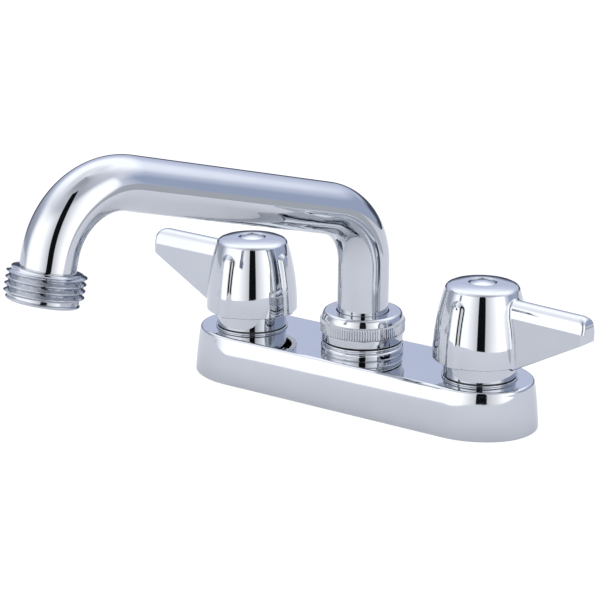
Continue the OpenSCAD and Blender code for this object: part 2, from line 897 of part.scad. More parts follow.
// Threaded end that takes a garden hose.
module hose_end() {
    ridge_start = hose_face_land + hose_start_room - hose_pitch / 2 + hose_crest_w / 2;
    ridge_end = ridge_start + hose_ridges * hose_pitch;
    lead_r = hose_minor_r + hose_lead_in;
    color("silver")
        spout_frame()
            leg_frame()
                translate([0, 0, leg_length])
                    difference() {
                        rotate_extrude()
                            polygon(concat(
                                [[0, 0], [hose_minor_r, 0]],
                                ridge_points(hose_major_r, hose_minor_r, max(ridge_start, 0), hose_pitch,
                                    hose_crest_w, hose_ridges),
                                [
                                    [hose_minor_r, ridge_end],
                                    [lead_r, ridge_end + hose_lead_in],
                                    [lead_r, hose_length - hose_rim_round],
                                    [lead_r - hose_rim_round, hose_length],
                                    [0, hose_length]
                                ]
                            ));
                        rod(tube_r + thread_gap, -cut_over, hose_socket_h + cut_over);
                        rod(hose_bore_r, 0, hose_length + cut_over);
                    }
}

// Rubber washer that closes the seat.
module seat_washer() {
    color("dimgray")
        bush(seat_washer_d / 2, washer_screw_r + running_gap, seat_washer_z, seat_washer_t);
}

// Brass screw that holds the washer on the stem.
module washer_screw() {
    color("gold")
        difference() {
            union() {
                rod(washer_screw_head_r, seat_washer_z - washer_screw_head_t, washer_screw_head_t);
                rod(washer_screw_r, seat_washer_z - washer_screw_head_t / 2,
                    seat_washer_t + washer_screw_length);
            }
            translate([0, 0, seat_washer_z - washer_screw_head_t])
                cube([2 * washer_screw_head_r + cut_over, screw_slot_w, 2 * screw_slot_depth], center = true);
        }
}

// Rising stem: washer head, lifting thread, smooth neck with its ring groove, and spline.
module stem() {
    screw_hole_h = washer_screw_length + seat_gap;
    neck_r = stem_d / 2;
    ring_root_r = neck_r - 2 * stem_ring_r;
    ring_h = 2 * (stem_ring_r + stem_ring_room);
    color("gold")
        difference() {
            union() {
                rod(stem_head_r, stem_z, stem_head_t);
                rod(stem_thread_d / 2, stem_head_top_z, stem_thread_length);
                rod(neck_r, stem_thread_top_z, handle_hub_z - stem_thread_top_z);
                rod(spline_r, handle_hub_z, spline_length);
            }
            rod(washer_screw_r + running_gap, stem_z - cut_over, screw_hole_h + cut_over);
            bush(neck_r + cut_over, ring_root_r, stem_ring_z - ring_h / 2, ring_h);
            rod(handle_screw_r + thread_gap, spline_top_z - handle_screw_length,
                handle_screw_length + cut_over);
        }
}

module stem_ring() {
    neck_r = stem_d / 2;
    color("dimgray")
        round_ring(neck_r - stem_ring_r, stem_ring_r, stem_ring_z);
}

// Outer half section of the handle: bevelled foot, convex side and rounded top edge.
module handle_profile() {
    intersection() {
        translate([handle_arc_x, handle_bevel_z])
            circle(r = handle_side_r, $fn = flat_arc_fn);
        translate([0, handle_z])
            square([handle_r, handle_edge_tangent_z - handle_z]);
        polygon([
            [0, handle_z],
            [handle_r - handle_bevel, handle_z],
            [handle_r, handle_bevel_z],
            [handle_r, handle_top_z],
            [0, handle_top_z]
        ]);
    }
    translate([0, handle_bevel_z])
        square([handle_edge_x, handle_top_z - handle_bevel_z]);
    translate([handle_edge_x, handle_edge_z])
        circle(r = handle_edge_r);
}

// Hollow under the handle, round its hub.
module handle_hollow() {
    inner_r = handle_r - handle_wall;
    roof_r = handle_edge_x - handle_wall / 2;
    difference() {
        rotate_extrude()
            polygon([
                [0, handle_z - cut_over],
                [inner_r, handle_z - cut_over],
                [inner_r, handle_z + handle_hollow_h],
                [roof_r, handle_roof_z],
                [0, handle_roof_z]
            ]);
        rod(handle_hub_r, handle_hub_z, handle_top_z - handle_hub_z);
    }
}

// Side view of the lever, drawn with X as the reach and Y as the height.
module lever_side() {
    tip_z = lever_ridge_z - lever_tip_h;
    root_z = lever_ridge_z - lever_root_h;
    corner = [lever_reach - lever_tip_r, lever_ridge_z - lever_tip_r];
    polygon([
        [0, root_z],
        [lever_root_x, root_z],
        [lever_reach - lever_tip_land, tip_z],
        [lever_reach, tip_z + lever_tip_land],
        [lever_reach, corner[1]],
        [corner[0], lever_ridge_z],
        [0, lever_ridge_z]
    ]);
    translate(corner)
        circle(r = lever_tip_r);
}

// Section of the lever, drawn with X across the blade and Y as the height.
module lever_section() {
    flare_z = lever_ridge_z - lever_flare_drop;
    ridge_z = lever_ridge_z - lever_ridge_r;
    flare = lever_w / 2 - lever_ridge_r;
    lean = atan2(flare, ridge_z - flare_z);
    touch = [lever_ridge_r * cos(lean), ridge_z + lever_ridge_r * sin(lean)];
    polygon([
        [-lever_w / 2, handle_z],
        [lever_w / 2, handle_z],
        [lever_w / 2, flare_z],
        touch,
        [-touch[0], touch[1]],
        [-lever_w / 2, flare_z]
    ]);
    translate([0, ridge_z])
        circle(r = lever_ridge_r);
}

// Blade of the lever along +X.
module lever_blade() {
    intersection() {
        rotate([90, 0, 0])
            linear_extrude(height = lever_w + 2 * cut_over, center = true)
                lever_side();
        rotate([90, 0, 90])
            linear_extrude(height = lever_reach + cut_over)
                lever_section();
    }
}

// One flute: a capsule that lies along the handle's side, at the angle turn.
module flute(turn) {
    top_z = handle_top_z - flute_drop;
    low_r = handle_r;
    top_r = handle_arc_x + sqrt(pow(handle_side_r, 2) - pow(top_z - handle_bevel_z, 2));
    lean = atan2(low_r - top_r, top_z - handle_bevel_z);
    sink = flute_r - flute_depth;
    flute_length = top_z - handle_z - flute_w / 2 + cut_over;
    rotate([0, 0, turn])
        translate([top_r + sink, 0, top_z - flute_w / 2])
            rotate([0, 180 - lean, 0]) {
                cylinder(r = flute_r, h = flute_length + cut_over);
                sphere(r = flute_r);
            }
}

// Canopy handle with its lever along +X.
module handle() {
    color("silver")
        difference() {
            union() {
                rotate_extrude()
                    handle_profile();
                lever_blade();
            }
            handle_hollow();
            for (i = [1 : flute_count])
                flute(i * flute_step_angle);
            rod(spline_r + thread_gap, handle_hub_z - cut_over, spline_length + cut_over);
            rod(handle_screw_r + trim_gap / 2, spline_top_z - cut_over, screw_web_t + 2 * cut_over);
            rod(screw_pocket_r, screw_web_top_z, handle_top_z - screw_web_top_z + cut_over);
            rod(button_r + button_gap, button_seat_z, handle_top_z - button_seat_z + cut_over);
        }
}

// Screw that holds the handle down on the spline.
module handle_screw() {
    color("gainsboro")
        difference() {
            union() {
                rod(handle_screw_r, spline_top_z - handle_screw_length + cut_over,
                    handle_screw_length + screw_web_t);
                rod(handle_screw_head_r, screw_web_top_z, handle_screw_head_t);
            }
            translate([0, 0, screw_web_top_z + handle_screw_head_t])
                cube([2 * handle_screw_head_r + cut_over, screw_slot_w, 2 * screw_slot_depth], center = true);
        }
}

// Button that closes the handle's top, with a dished face.
module index_button() {
    dish_r = (pow(button_r, 2) + pow(button_dish, 2)) / (2 * button_dish);
    color("whitesmoke")
        rotate_extrude()
            difference() {
                union() {
                    translate([0, button_seat_z])
                        square([button_r, button_t]);
                    translate([0, button_seat_z - button_stub_h])
                        square([screw_pocket_r - button_stub_gap, button_stub_h + button_t / 2]);
                }
                translate([0, button_top_z - button_dish + dish_r])
                    circle(r = dish_r, $fn = flat_arc_fn);
            }
}

module hot_seat_washer() {
    at_hot()
        seat_washer();
}

module hot_washer_screw() {
    at_hot()
        washer_screw();
}

module hot_stem() {
    at_hot()
        stem();
}

module hot_stem_ring() {
    at_hot()
        stem_ring();
}

module hot_handle() {
    hot_lever_frame()
        handle();
}

module hot_handle_screw() {
    at_hot()
        handle_screw();
}

module hot_index_button() {
    at_hot()
        index_button();
}

module cold_seat_washer() {
    at_cold()
        seat_washer();
}

module cold_washer_screw() {
    at_cold()
        washer_screw();
}

module cold_stem() {
    at_cold()
        stem();
}

module cold_stem_ring() {
    at_cold()
        stem_ring();
}

module cold_handle() {
    cold_lever_frame()
        handle();
}

module cold_handle_screw() {
    at_cold()
        handle_screw();
}

module cold_index_button() {
    at_cold()
        index_button();
}

cover_shell();
deck_gasket();
valve_body();
hot_shank();
cold_shank();
deck_washers();
lock_nuts();
hot_seat();
cold_seat();
hot_bonnet();
cold_bonnet();
hot_bonnet_washer();
cold_bonnet_washer();
hot_cover_ring();
cold_cover_ring();
spout_hub();
spout_nut();
friction_ring();
spout_tube();
spout_collar();
spout_o_ring();
hose_end();
hot_seat_washer();
hot_washer_screw();
hot_stem();
hot_stem_ring();
hot_handle();
hot_handle_screw();
hot_index_button();
cold_seat_washer();
cold_washer_screw();
cold_stem();
cold_stem_ring();
cold_handle();
cold_handle_screw();
cold_index_button();
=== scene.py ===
"""Looks of the utility sink faucet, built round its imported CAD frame. Lengths in the tables are millimetres."""
import json
import math

import bpy
import numpy as np
from mathutils import Matrix, Vector


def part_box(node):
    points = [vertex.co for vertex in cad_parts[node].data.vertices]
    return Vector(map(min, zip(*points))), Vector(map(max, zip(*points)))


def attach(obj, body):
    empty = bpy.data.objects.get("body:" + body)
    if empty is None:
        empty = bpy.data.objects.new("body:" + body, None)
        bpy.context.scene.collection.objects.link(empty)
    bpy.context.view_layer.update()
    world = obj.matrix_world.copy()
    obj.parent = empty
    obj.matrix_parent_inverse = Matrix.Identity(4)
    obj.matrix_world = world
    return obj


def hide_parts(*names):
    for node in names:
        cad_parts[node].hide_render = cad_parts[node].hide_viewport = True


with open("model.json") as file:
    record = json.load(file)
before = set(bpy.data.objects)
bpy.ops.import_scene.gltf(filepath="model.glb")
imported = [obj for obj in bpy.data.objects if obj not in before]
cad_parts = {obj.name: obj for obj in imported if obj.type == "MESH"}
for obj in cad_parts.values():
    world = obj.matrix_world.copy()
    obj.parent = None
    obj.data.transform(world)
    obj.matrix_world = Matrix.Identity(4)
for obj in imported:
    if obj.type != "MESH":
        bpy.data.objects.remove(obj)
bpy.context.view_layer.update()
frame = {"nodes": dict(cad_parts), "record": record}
scene = bpy.context.scene
nodes = frame["nodes"]

MM = 0.001
VALVE_X = 50.8
COVER_H = 17.9
SPOUT_TURN = math.radians(15.4)
HOT_LEVER, COLD_LEVER = 178.5, -5.4  # degrees from +X, anticlockwise
VIEW_AZ = 34.6  # degrees from straight in front, for what is set round the camera
CHROME_TONES = [(0.585, 0.605, 0.645), (0.605, 0.625, 0.66)]


# ---------------------------------------------------------------- materials

def new_material(name):
    m = bpy.data.materials.new(name)
    m.use_nodes = True
    tree = m.node_tree
    return m, tree, tree.nodes["Principled BSDF"]


def add(tree, kind, **values):
    n = tree.nodes.new(kind)
    for k, v in values.items():
        setattr(n, k, v)
    return n


def noise(tree, scale, detail=3.0, rough=0.5, stretch=None):
    """A noise texture in object space, with one feature about 1/scale metres long."""
    coord = add(tree, "ShaderNodeTexCoord")
    mapping = add(tree, "ShaderNodeMapping")
    if stretch:
        mapping.inputs["Scale"].default_value = stretch
    tex = add(tree, "ShaderNodeTexNoise")
    tex.inputs["Scale"].default_value = scale
    tex.inputs["Detail"].default_value = detail
    tex.inputs["Roughness"].default_value = rough
    tree.links.new(coord.outputs["Object"], mapping.inputs["Vector"])
    tree.links.new(mapping.outputs["Vector"], tex.inputs["Vector"])
    return tex


def ramp(tree, source, stops):
    r = add(tree, "ShaderNodeValToRGB")
    el = r.color_ramp.elements
    while len(el) < len(stops):
        el.new(0.5)
    for e, (pos, col) in zip(el, stops):
        e.position = pos
        e.color = (*col, 1.0)
    tree.links.new(source, r.inputs["Fac"])
    return r.outputs["Color"]


def value_range(tree, source, low, high, start=0.0, end=1.0):
    m = add(tree, "ShaderNodeMapRange")
    m.inputs["From Min"].default_value = start
    m.inputs["From Max"].default_value = end
    m.inputs["To Min"].default_value = low
    m.inputs["To Max"].default_value = high
    tree.links.new(source, m.inputs["Value"])
    return m.outputs["Result"]


def bump(tree, bsdf, *layers):
    """Stacks (height socket, distance in metres, strength) layers on the shader's normal."""
    last = None
    for source, distance, strength in layers:
        b = add(tree, "ShaderNodeBump")
        b.inputs["Distance"].default_value = distance
        b.inputs["Strength"].default_value = strength
        tree.links.new(source, b.inputs["Height"])
        if last is not None:
            tree.links.new(last, b.inputs["Normal"])
        last = b.outputs["Normal"]
    tree.links.new(last, bsdf.inputs["Normal"])


def metal(name, tones, rough, wave=0.0, grain=0.0, grain_scale=3000.0, stretch=None):
    m, tree, bsdf = new_material(name)
    bsdf.inputs["Metallic"].default_value = 1.0
    cloud = noise(tree, 55.0, 3.0)
    tree.links.new(ramp(tree, cloud.outputs["Fac"], [(0.3, tones[0]), (0.7, tones[1])]), bsdf.inputs["Base Color"])
    film = noise(tree, 180.0, 6.0, 0.65)
    tree.links.new(value_range(tree, film.outputs["Fac"], rough[0], rough[1], 0.35, 0.75), bsdf.inputs["Roughness"])
    layers = []
    if wave:
        layers.append((noise(tree, 42.0, 1.0, 0.3).outputs["Fac"], wave, 1.0))
    if grain:
        layers.append((noise(tree, grain_scale, 2.0, 0.6, stretch).outputs["Fac"], grain, 1.0))
    if layers:
        bump(tree, bsdf, *layers)
    return m


CHROME = metal("chrome", CHROME_TONES, (0.015, 0.04), 0.00008, 0.0000008)
CHROME_FLAT = metal("chrome_cover", CHROME_TONES, (0.025, 0.05), 0.00005, 0.0000008)
SATIN = metal("satin_chrome", [(0.56, 0.58, 0.615), (0.59, 0.605, 0.64)], (0.05, 0.09), 0.00005, 0.000002, 1600.0)
# Chrome for the hose thread: rougher than the rest, with a darker base colour that is painted shade for the thread's
# shaded flanks.
THREAD_CHROME_PAINTED_SHADE = metal("chrome_thread_painted_shade", [(0.49, 0.51, 0.555), (0.54, 0.56, 0.60)], (0.07, 0.13), 0.00004, 0.000002,
                   1600.0)
BRASS = metal("brass", [(0.66, 0.49, 0.22), (0.76, 0.59, 0.30)], (0.18, 0.34), 0.0001, 0.00001, 900.0,
              (0.2, 0.2, 8.0))
CAST = metal("cast_brass", [(0.50, 0.37, 0.18), (0.64, 0.49, 0.26)], (0.4, 0.6), 0.0, 0.00012, 900.0)
STEEL = metal("zinc_plate", [(0.56, 0.57, 0.58), (0.68, 0.68, 0.66)], (0.22, 0.4), 0.0, 0.00001, 1500.0, (1.0, 8.0, 1.0))


def dielectric(name, dark, light, rough, grain, grain_scale):
    m, tree, bsdf = new_material(name)
    cloud = noise(tree, 160.0, 5.0, 0.6)
    tree.links.new(ramp(tree, cloud.outputs["Fac"], [(0.32, dark), (0.7, light)]), bsdf.inputs["Base Color"])
    tree.links.new(value_range(tree, cloud.outputs["Fac"], rough[0], rough[1], 0.3, 0.7), bsdf.inputs["Roughness"])
    bump(tree, bsdf, (noise(tree, grain_scale, 4.0, 0.7).outputs["Fac"], grain, 1.0))
    return m


RUBBER = dielectric("rubber", (0.022, 0.022, 0.024), (0.05, 0.05, 0.052), (0.55, 0.75), 0.00006, 2500.0)
FIBRE = dielectric("fibre", (0.30, 0.13, 0.07), (0.48, 0.24, 0.14), (0.6, 0.8), 0.00008, 1800.0)
WHITE = dielectric("white_plastic", (0.74, 0.74, 0.72), (0.84, 0.84, 0.83), (0.35, 0.5), 0.00003, 1500.0)

SLOTS = {"chrome": CHROME, "satin_chrome": SATIN, "brass": BRASS, "cast_brass": CAST, "steel": STEEL,
         "rubber": RUBBER, "fibre": FIBRE, "white_plastic": WHITE}
for part in frame["record"]["subparts"]:
    mesh = nodes[part["node"]].data
    mesh.materials.clear()
    mesh.materials.append(SLOTS[part["material_slot"]])


# ---------------------------------------------------------------- meshes

def place(name, data):
    obj = bpy.data.objects.new(name, data)
    scene.collection.objects.link(obj)
    return obj


def around(sides):
    """Angles of that many even steps round a circle."""
    return np.arange(sides) * 2 * math.pi / sides


def smooth(share):
    """0 to 1 with level ends, from a share that may lie outside 0 to 1."""
    e = min(1.0, max(0.0, share))
    return e * e * (3 - 2 * e)


def make_object(name, points, faces, material, body, replaced=(), sharp=32.0, normals=None,
                weighted=True):
    """A smooth-shaded piece that rides on a body. Points are millimetres, and sharp is degrees."""
    mesh = bpy.data.meshes.new(name)
    points = np.asarray(points, float) * MM
    mesh.from_pydata(points.tolist(), [], [list(map(int, f)) for f in faces])
    mesh.update()
    mesh.validate()
    mesh.materials.append(material)
    mesh.shade_smooth()
    obj = place(name, mesh)
    if normals is not None:
        mesh.normals_split_custom_set_from_vertices(np.asarray(normals, float).tolist())
    else:
        mesh.set_sharp_from_angle(angle=math.radians(sharp))
        if weighted:
            w = obj.modifiers.new("even", "WEIGHTED_NORMAL")
            w.keep_sharp = True
            w.weight = 80
    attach(obj, body)
    if replaced:
        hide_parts(*replaced)
    return obj


def loop_grid(rings, close_rings=True):
    """Faces of a grid of rings, each closed on itself, and joined first to last if close_rings."""
    nu, nv = rings.shape[:2]
    faces = []
    for i in range(nu if close_rings else nu - 1):
        a, b = i * nv, ((i + 1) % nu) * nv
        for j in range(nv):
            k = (j + 1) % nv
            faces.append((a + j, b + j, b + k, a + k))
    return rings.reshape(-1, 3), faces


def flipped(faces):
    return [tuple(reversed(f)) for f in faces]


def fillet(corners, step=8.0):
    """A closed outline of (x, y, radius) corners, with each corner rounded by its radius."""
    out = []
    n = len(corners)
    for i in range(n):
        p = np.array(corners[i][:2], float)
        r = corners[i][2]
        a = np.array(corners[i - 1][:2], float) - p
        b = np.array(corners[(i + 1) % n][:2], float) - p
        la, lb = np.linalg.norm(a), np.linalg.norm(b)
        a, b = a / la, b / lb
        inner = math.acos(max(-1.0, min(1.0, float(a @ b))))
        if r <= 0 or abs(math.pi - inner) < 1e-3:
            out.append(tuple(p))
            continue
        reach = min(r / math.tan(inner / 2), 0.49 * la, 0.49 * lb)
        r = reach * math.tan(inner / 2)
        mid = (a + b) / np.linalg.norm(a + b)
        centre = p + mid * (r / math.sin(inner / 2))
        start, end = p + a * reach - centre, p + b * reach - centre
        a0 = math.atan2(start[1], start[0])
        turn = math.atan2(end[1], end[0]) - a0
        turn = (turn + math.pi) % (2 * math.pi) - math.pi
        steps = max(2, int(abs(math.degrees(turn)) / step) + 1)
        for k in range(steps + 1):
            t = a0 + turn * k / steps
            out.append((centre[0] + r * math.cos(t), centre[1] + r * math.sin(t)))
    return out


def area(loop):
    p = np.array(loop)
    q = np.roll(p, -1, 0)
    return 0.5 * float((p[:, 0] * q[:, 1] - q[:, 0] * p[:, 1]).sum())


def revolve(name, loop, body, material, replaced=(), x=0.0, sides=192, warp=None, sharp=32.0):
    """A closed section of (radius, height) turned about a vertical axis at x."""
    loop = np.array(loop if area(loop) > 0 else loop[::-1])
    t = around(sides)
    r = np.repeat(loop[:, :1], sides, 1)
    z = np.repeat(loop[:, 1:], sides, 1)
    if warp:
        r, z = warp(t[None, :], r, z)
    rings = np.stack([x + r * np.cos(t), r * np.sin(t), z], 2)
    points, faces = loop_grid(rings)
    return make_object(name, points, faces, material, body, replaced, sharp)


def solid_revolve(name, line, body, material, replaced=(), x=0.0, sides=128, sharp=32.0):
    """An open section of (radius, height) whose two ends lie on the axis."""
    line = np.array(line)
    t = around(sides)
    inner = line[1:-1]
    r = np.repeat(inner[:, :1], sides, 1)
    z = np.repeat(inner[:, 1:], sides, 1)
    rings = np.stack([x + r * np.cos(t), r * np.sin(t), z], 2)
    points, faces = loop_grid(rings, False)
    first, last = len(points), len(points) + 1
    points = np.vstack([points, [[x, 0, line[0][1]], [x, 0, line[-1][1]]]])
    top = (len(inner) - 1) * sides
    faces += [((j + 1) % sides, first, j) for j in range(sides)]
    faces += [(top + j, last, top + (j + 1) % sides) for j in range(sides)]
    if line[-1][1] > line[0][1]:
        faces = flipped(faces)
    return make_object(name, points, faces, material, body, replaced, sharp)


# ---------------------------------------------------------------- spout tube

TUBE_R, BORE_R = 9.525, 8.325
RISER_TOP, BEND_1, RISE, RUN, BEND_2, TURN_2, LEG = 51.8, 24.5, 14.5, 90.3, 26.0, 92.0, 4.7
SOCKET = 5.2


def spout_point(reach, side, height):
    """Row-frame millimetres of a point given in the spout's own plane."""
    s, c = math.sin(SPOUT_TURN), math.cos(SPOUT_TURN)
    return np.stack([-s * reach + c * side, -c * reach - s * side, height], -1)


def spout_route(foot_z):
    """Reach, height and heading from straight up, in degrees, along the tube's axis."""
    rows = [(0.0, z, 0.0) for z in np.linspace(foot_z, RISER_TOP, 8)]
    first = 90.0 - RISE
    for a in np.linspace(0, first, 41)[1:]:
        q = math.radians(a)
        rows.append((BEND_1 * (1 - math.cos(q)), RISER_TOP + BEND_1 * math.sin(q), a))
    x0, z0, _ = rows[-1]
    q = math.radians(RISE)
    for s in np.linspace(0, RUN, 25)[1:]:
        rows.append((x0 + s * math.cos(q), z0 + s * math.sin(q), first))
    x1, z1, _ = rows[-1]
    cx, cz = x1 + BEND_2 * math.sin(q), z1 - BEND_2 * math.cos(q)
    for a in np.linspace(0, TURN_2, 49)[1:]:
        q2 = math.radians(first + a)
        rows.append((cx - BEND_2 * math.cos(q2), cz + BEND_2 * math.sin(q2), first + a))
    return rows


ROUTE = spout_route(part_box("spout_tube")[0][2] / MM)
END = ROUTE[-1]
END_Q = math.radians(END[2])
LEG_DIR = (math.sin(END_Q), math.cos(END_Q))
for s in (LEG * 0.5, LEG, LEG + SOCKET):
    ROUTE.append((END[0] + s * LEG_DIR[0], END[1] + s * LEG_DIR[1], END[2]))


def spout_tube():
    sides = 144
    t = around(sides)
    rings = []
    for radius, rows in ((TUBE_R, ROUTE), (BORE_R, ROUTE[::-1])):
        for reach, height, heading in rows:
            q = math.radians(heading)
            rings.append(spout_point(reach + radius * np.cos(t) * math.cos(q), radius * np.sin(t),
                                     height - radius * np.cos(t) * math.sin(q)))
    points, faces = loop_grid(np.array(rings))
    return make_object("spout_tube_skin", points, flipped(faces), CHROME, "spout", ["spout_tube"],
                       weighted=False)


def leg_frame(r, t, s):
    """Row-frame millimetres of cylinder coordinates round the spout's leg, s along it."""
    reach = END[0] + (LEG + s) * LEG_DIR[0] + r * np.cos(t) * math.cos(END_Q)
    height = END[1] + (LEG + s) * LEG_DIR[1] - r * np.cos(t) * math.sin(END_Q)
    return spout_point(reach, r * np.sin(t), height)


def thread_height(phase, crest):
    """0 to 1 over one pitch: a ridge with straight flanks and a flat crest of that share of the pitch."""
    d = np.abs((phase % 1.0) - 0.5)
    return np.clip(1.0 - (d - crest / 2) / (0.5 - crest / 2), 0.0, 1.0)


def hose_end():
    major, minor, pitch, length = 13.4, 11.95, 2.209, 11.086
    sides = 288
    t = around(sides)
    first, last, plain = 0.62, 9.6, 9.9
    lead, socket_r, outlet_r = minor + 0.5, TUBE_R + 0.03, 8.1
    s_out = np.concatenate([[0.18], np.linspace(0.3, plain, 112), [10.1, 10.5]])
    plan = [("fix", socket_r, 0.0), ("fix", minor - 0.2, 0.0)] + [("thread", minor, s) for s in s_out]
    plan += [("fix", lead - 0.1, length - 0.35), ("fix", lead - 0.4, length), ("fix", 8.5, length),
             ("fix", outlet_r, length - 0.4), ("fix", outlet_r, SOCKET), ("fix", socket_r, SOCKET)]
    rings = []
    for kind, r, s in plan:
        radius = np.full(sides, float(r))
        if kind == "thread":
            turn = (s - first) / pitch - t / (2 * math.pi)
            ends = (last - first) / pitch
            fade = np.clip((turn + 0.35) * 3.0, 0, 1) * np.clip((ends - 1.0 - turn) * 3.0 + 1.0, 0, 1)
            radius = minor + (major - minor) * thread_height(turn + 0.5, 0.07) * fade
            if s > plain:
                radius = np.maximum(radius, minor + (lead - minor) * min(1.0, (s - plain) / 0.4))
        rings.append(leg_frame(radius, t, np.full(sides, float(s))))
    points, faces = loop_grid(np.array(rings))
    # The thread's chrome carries painted shade in its darker base colour.
    return make_object("hose_end_thread", points, flipped(faces), THREAD_CHROME_PAINTED_SHADE, "spout", ["hose_end"],
                       sharp=50.0, weighted=False)


spout_tube()
hose_end()


# ---------------------------------------------------------------- swivel nut, hub and rings

def spout_nut():
    teeth, per = 103, 8
    z0, z1, z2, top = 22.7, 25.9, 30.5, 33.55
    band, knurl = 15.1, 15.9
    tilt, turn, wide = math.radians(4), math.radians(31), 5.0
    shoulder = [(15.35 - wide * (math.cos(tilt) - math.cos(a)), z2 + 0.12 + wide * (math.sin(a) - math.sin(tilt)), 0.0)
                for a in np.linspace(tilt, turn, 14)]
    r1, h1 = shoulder[-1][:2]
    tight = (top - h1) / (1 - math.sin(turn))
    shoulder += [(r1 - tight * (math.cos(turn) - math.cos(a)), h1 + tight * (math.sin(a) - math.sin(turn)), 0.0)
                 for a in np.linspace(turn, math.pi / 2, 16)[1:]]
    loop = fillet([(13.2, z0, 0.1), (band, z0, 0.25), (band, z1 - 0.35, 0.15), (band - 0.25, z1 - 0.15, 0.05),
                   (knurl - 0.35, z1, 0.0), (knurl, z1 + 0.3, 0.0), (knurl, z2 - 0.35, 0.0), (knurl - 0.3, z2, 0.1),
                   (15.35, z2 + 0.06, 0.0)] + shoulder + [(9.83, top, 0.2), (9.83, top - 2.05, 0.1),
                   (13.2, top - 2.05, 0.1)])
    dense = []
    for a, b in zip(loop, loop[1:] + loop[:1]):
        dense.append(a)
        if abs(a[0] - knurl) < 0.01 and abs(b[0] - knurl) < 0.01:
            dense += [(knurl, a[1] + (b[1] - a[1]) * k / 6) for k in range(1, 6)]
    cut = np.array([0.0, 0.0, 0.0, 0.0, 0.0, 0.12, 0.34, 0.12])

    def warp(t, r, z):
        index = np.round(t * teeth * per / (2 * math.pi)).astype(int) % per
        depth = cut[index]
        on = (r > band + 0.3) & (z > z1 - 0.05) & (z < z2 + 0.05)
        return np.where(on, r - depth, r), z

    obj = revolve("spout_nut_knurled", dense, "base", SATIN, ["spout_nut"],
                  sides=teeth * per, warp=warp, sharp=40.0)
    # Painted shade on the nut's underside, in the joint over the hub.
    groove_shade_paint(obj, lambda r, z: z < 22.9 and r < 14.7)
    return obj


def spout_hub():
    loop = fillet([(13.2, 17.9, 0.0), (15.3, 17.9, 0.15), (15.45, 18.4, 0.6), (15.45, 20.2, 0.9), (14.9, 20.65, 0.25),
                   (14.6, 20.75, 0.2), (14.6, 21.35, 0.2), (15.15, 21.4, 0.3), (15.15, 22.1, 0.3), (13.2, 22.1, 0.1)])
    obj = revolve("spout_hub_turned", loop, "base", CHROME, ["spout_hub"], sides=224)
    # Painted shade on the hub's top face, in the joint under the nut.
    groove_shade_paint(obj, lambda r, z: z > 22.0 and r < 14.6)
    return obj


def cover_ring(side, x):
    loop = fillet([(10.85, COVER_H, 0.0), (13.75, COVER_H, 0.05), (13.85, 18.1, 0.1), (13.85, 18.45, 0.15),
                   (13.6, 18.55, 0.1), (12.85, 18.55, 0.05), (12.85, 18.9, 0.05), (13.25, 18.95, 0.05),
                   (13.35, 19.1, 0.1), (13.35, 25.5, 0.3), (11.47, 25.5, 0.2), (11.47, 20.4, 0.1),
                   (10.85, 20.4, 0.1)])
    obj = revolve(side + "_ring_turned", loop, "base", CHROME, [side + "_cover_ring"], x=x, sides=192)
    # Painted shade deep in the ring's groove.
    groove_shade_paint(obj, lambda r, z: 18.5 < z < 18.95 and r < 13.2, x)
    return obj


def groove_shade_paint(obj, where, x=0.0):
    """Painted shade: gives the faces deep in a groove or joint the dark rubber material, standing in for the shade
    that falls in the gap.
    """
    obj.data.materials.append(RUBBER)
    for face in obj.data.polygons:
        c = face.center / MM
        if where(math.hypot(c.x - x, c.y), c.z):
            face.material_index = 1


spout_nut()
spout_hub()
cover_ring("hot", -VALVE_X)
cover_ring("cold", VALVE_X)


# ---------------------------------------------------------------- cover

def cover_outline(inset, count=28):
    """Half of the cover's outline, drawn in by inset: three tangent arcs round the end at +X, front to back.

    The end stands steeper than the long sides, so it is drawn in less."""
    half_depth, half_length = 21.6, 72.9
    nose, side = half_depth * 0.907, half_depth * 1.26
    drop = side - half_depth
    step = math.sqrt((side - nose) ** 2 - drop ** 2)
    side_x, nose_x = half_length - nose - step, half_length - nose
    a = math.degrees(math.atan2(drop, step))
    out = []
    arcs = ((side_x, drop, side, -90, 90 - a, count), (nose_x, 0, nose, -a, 2 * a, 2 * count),
            (side_x, -drop, side, a, 90 - a, count))
    for cx, cy, r, start, turn, n in arcs:
        for k in range(n + (1 if start == a else 0)):
            t = math.radians(start + turn * k / n)
            steep = 1.0 - 0.23 * smooth(math.cos(t) / 0.5)
            out.append((cx + (r - inset * steep) * math.cos(t), cy + (r - inset * steep) * math.sin(t)))
    return out


def whole_outline(inset):
    """The cover's closed outline: both ends, joined by straight sides."""
    half = cover_outline(inset)
    joined = []
    for sign in (1, -1):
        part = [(sign * x, sign * y) for x, y in half]
        joined += part
        a, b = part[-1], (-sign * half[0][0], -sign * half[0][1])
        joined += [(a[0] + (b[0] - a[0]) * k / 40, a[1] + (b[1] - a[1]) * k / 40) for k in range(1, 40)]
    return np.array(joined)


